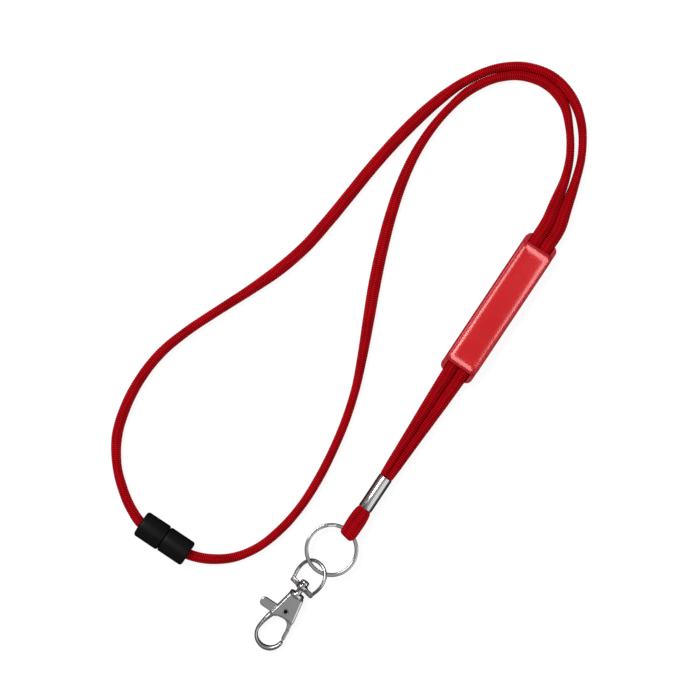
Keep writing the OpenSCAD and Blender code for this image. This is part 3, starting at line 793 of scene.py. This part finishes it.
def make_lever_pin(material):
    """A hollow rivet, whose deep dark hole shows on the hook's face."""
    profile = [(0.02, -1.5), (0.7, -1.5), (0.82, -1.38), (0.82, 1.3), *arc(0.71, 1.3, 0.11, 0, 180, 5),
               (0.6, -1.0), (0.02, -1.0)]
    pin = lathe("lever_pin_rivet", profile, material, HOOK @ Matrix.Rotation(math.pi / 2, 4, "X"), sides=40)
    return finish_piece(pin, "hook", "steel_pin", "lever_pin")


def make_spring(material):
    """A torsion spring round the lever pin, with two straight legs."""
    turns = np.radians(np.linspace(-360, 180, 120))
    rise = np.linspace(0.28, 0.72, 120)
    coil = [(1.25 * math.cos(t), 1.25 * math.sin(t), z) for t, z in zip(turns, rise)]
    leg = [(1.25, 3.4 - k * 0.34, 0.28) for k in range(10)]
    tail = [(-1.25, -0.2 * -k, 0.72) for k in range(1, 7)]
    path, _ = smooth_path(leg + coil + tail, 0.12)
    rings = rings_along(path, np.tile((0, 0, 1.0), (len(path), 1)), 0.34, 0.34, sides=10)
    spring = swept("torsion_spring", rings, material, place=HOOK)
    return finish_piece(spring, "hook", "steel_pin", "lever_spring")


# --- breakaway connector ---------------------------------------------------------------------

HALF_LEN = 11.0
WEB = 2.4
CORD_HOLE = 2.6


def make_half(name, length, outer, bore, edge, lip, turn, material):
    """One half's hollow shell, from the seam at y = 0 to its rounded end."""
    profile = [(bore, 0.15), (bore + 0.15, 0), (outer - lip, 0), *arc(outer - lip, lip, lip, -80, 0, 5),
               *arc(outer - edge, length - edge, edge, 0, 90, 9), (CORD_HOLE + 0.3, length),
               *arc(CORD_HOLE + 0.3, length - 0.3, 0.3, 90, 180, 4)[1:], (CORD_HOLE, HALF_LEN - WEB),
               (bore, HALF_LEN - WEB)]
    place = at(CONNECTOR_AT) @ Matrix.Rotation(turn, 4, "Z")
    return lathe(name, profile, material, place, solid=False, sides=80)


def make_connector(black):
    socket = make_half("connector_socket", HALF_LEN, 5.5, 4.1, 1.15, 0.85, math.pi / 2, black)
    finish_piece(socket, "strap", "black_plastic", "breakaway_socket")

    plug = make_half("connector_plug", HALF_LEN + 0.6, 5.33, 3.1, 1.15, 0.95, -math.pi / 2, black)
    place = at(CONNECTOR_AT) @ Matrix.Rotation(-math.pi / 2, 4, "Z")
    sleeve = [(3.1, -5.8), (3.3, -6.0), (3.7, -6.0), (4.0, -5.5), (4.0, 0.3), (3.1, 0.3)]
    collet = lathe("collet", sleeve, black, place, solid=False, sides=64)
    cuts = [prism("prong_cut", round_rect(2.0, 5.5, 0.3), -6, 6, black,
                  place @ at((0, -4.0, 0)) @ Matrix.Rotation(turn, 4, "Y")) for turn in (0, math.pi / 2)]
    merge(collet, cuts, "DIFFERENCE")
    merge(plug, [collet])
    finish_piece(plug, "plug", "black_plastic", "breakaway_plug")


def make_end_stop(name, outer, turn, body, node, material):
    """A brass cup crimped on a cord's end."""
    low, high, bore = HALF_LEN - WEB - 1.9, HALF_LEN - WEB - 0.1, CORD_D / MM / 2 + 0.1
    profile = [(0.02, low), (outer - 0.2, low), (outer, low + 0.2), (outer, high - 0.15),
               (outer - 0.15, high), (bore, high), (bore, low + 0.5), (0.02, low + 0.5)]
    place = at(CONNECTOR_AT) @ Matrix.Rotation(turn, 4, "Z")
    finish_piece(lathe(name, profile, material, place, sides=48), body, "brass_stop", node)


# --- the whole picture -----------------------------------------------------------------------

def build():
    make_camera()
    make_floor()
    make_light()
    make_cords(woven_red())
    nickel = plated("nickel", (0.74, 0.735, 0.73), 0.16, 0.03)
    cast = plated("nickel_cast", (0.76, 0.75, 0.75), 0.2, 0.06)
    steel = plated("steel_pin", (0.07, 0.07, 0.075), 0.4, 0.1)
    brass = plated("brass_stop", (0.78, 0.58, 0.3), 0.28, 0.3)
    tray_red = moulded("red_tray", (0.48, 0.003, 0.014), (0.44, 0.002, 0.012), 0.34, 0.0, 0.12)
    cover_red = moulded("red_cover", (0.5, 0.004, 0.014), (0.47, 0.003, 0.012), 0.28, 0.0, 0.1)
    label_red = moulded("red_label", (0.5, 0.004, 0.012), (0.46, 0.003, 0.01), 0.6, 0.0, 0.05, 0.2)
    resin = domed_resin("red_resin", (0.645, 0.0, 0.0035), (0.63, 0.0, 0.003))
    black = moulded("black_plastic", (0.004, 0.004, 0.0042), (0.003, 0.003, 0.0032), 0.45, 0.0, 0.2, 0.22)
    make_ferrule(nickel)
    make_gloss_lights(make_slider(tray_red, cover_red, label_red, resin))
    make_split_ring(nickel)
    make_eye(nickel)
    make_swivel_pin(nickel)
    make_hook(cast)
    make_lever(cast)
    make_lever_pin(steel)
    make_spring(steel)
    make_connector(black)
    make_end_stop("socket_stop_cup", 3.4, math.pi / 2, "strap", "socket_end_stop", brass)
    make_end_stop("plug_stop_cup", 2.95, -math.pi / 2, "plug", "plug_end_stop", brass)


build()
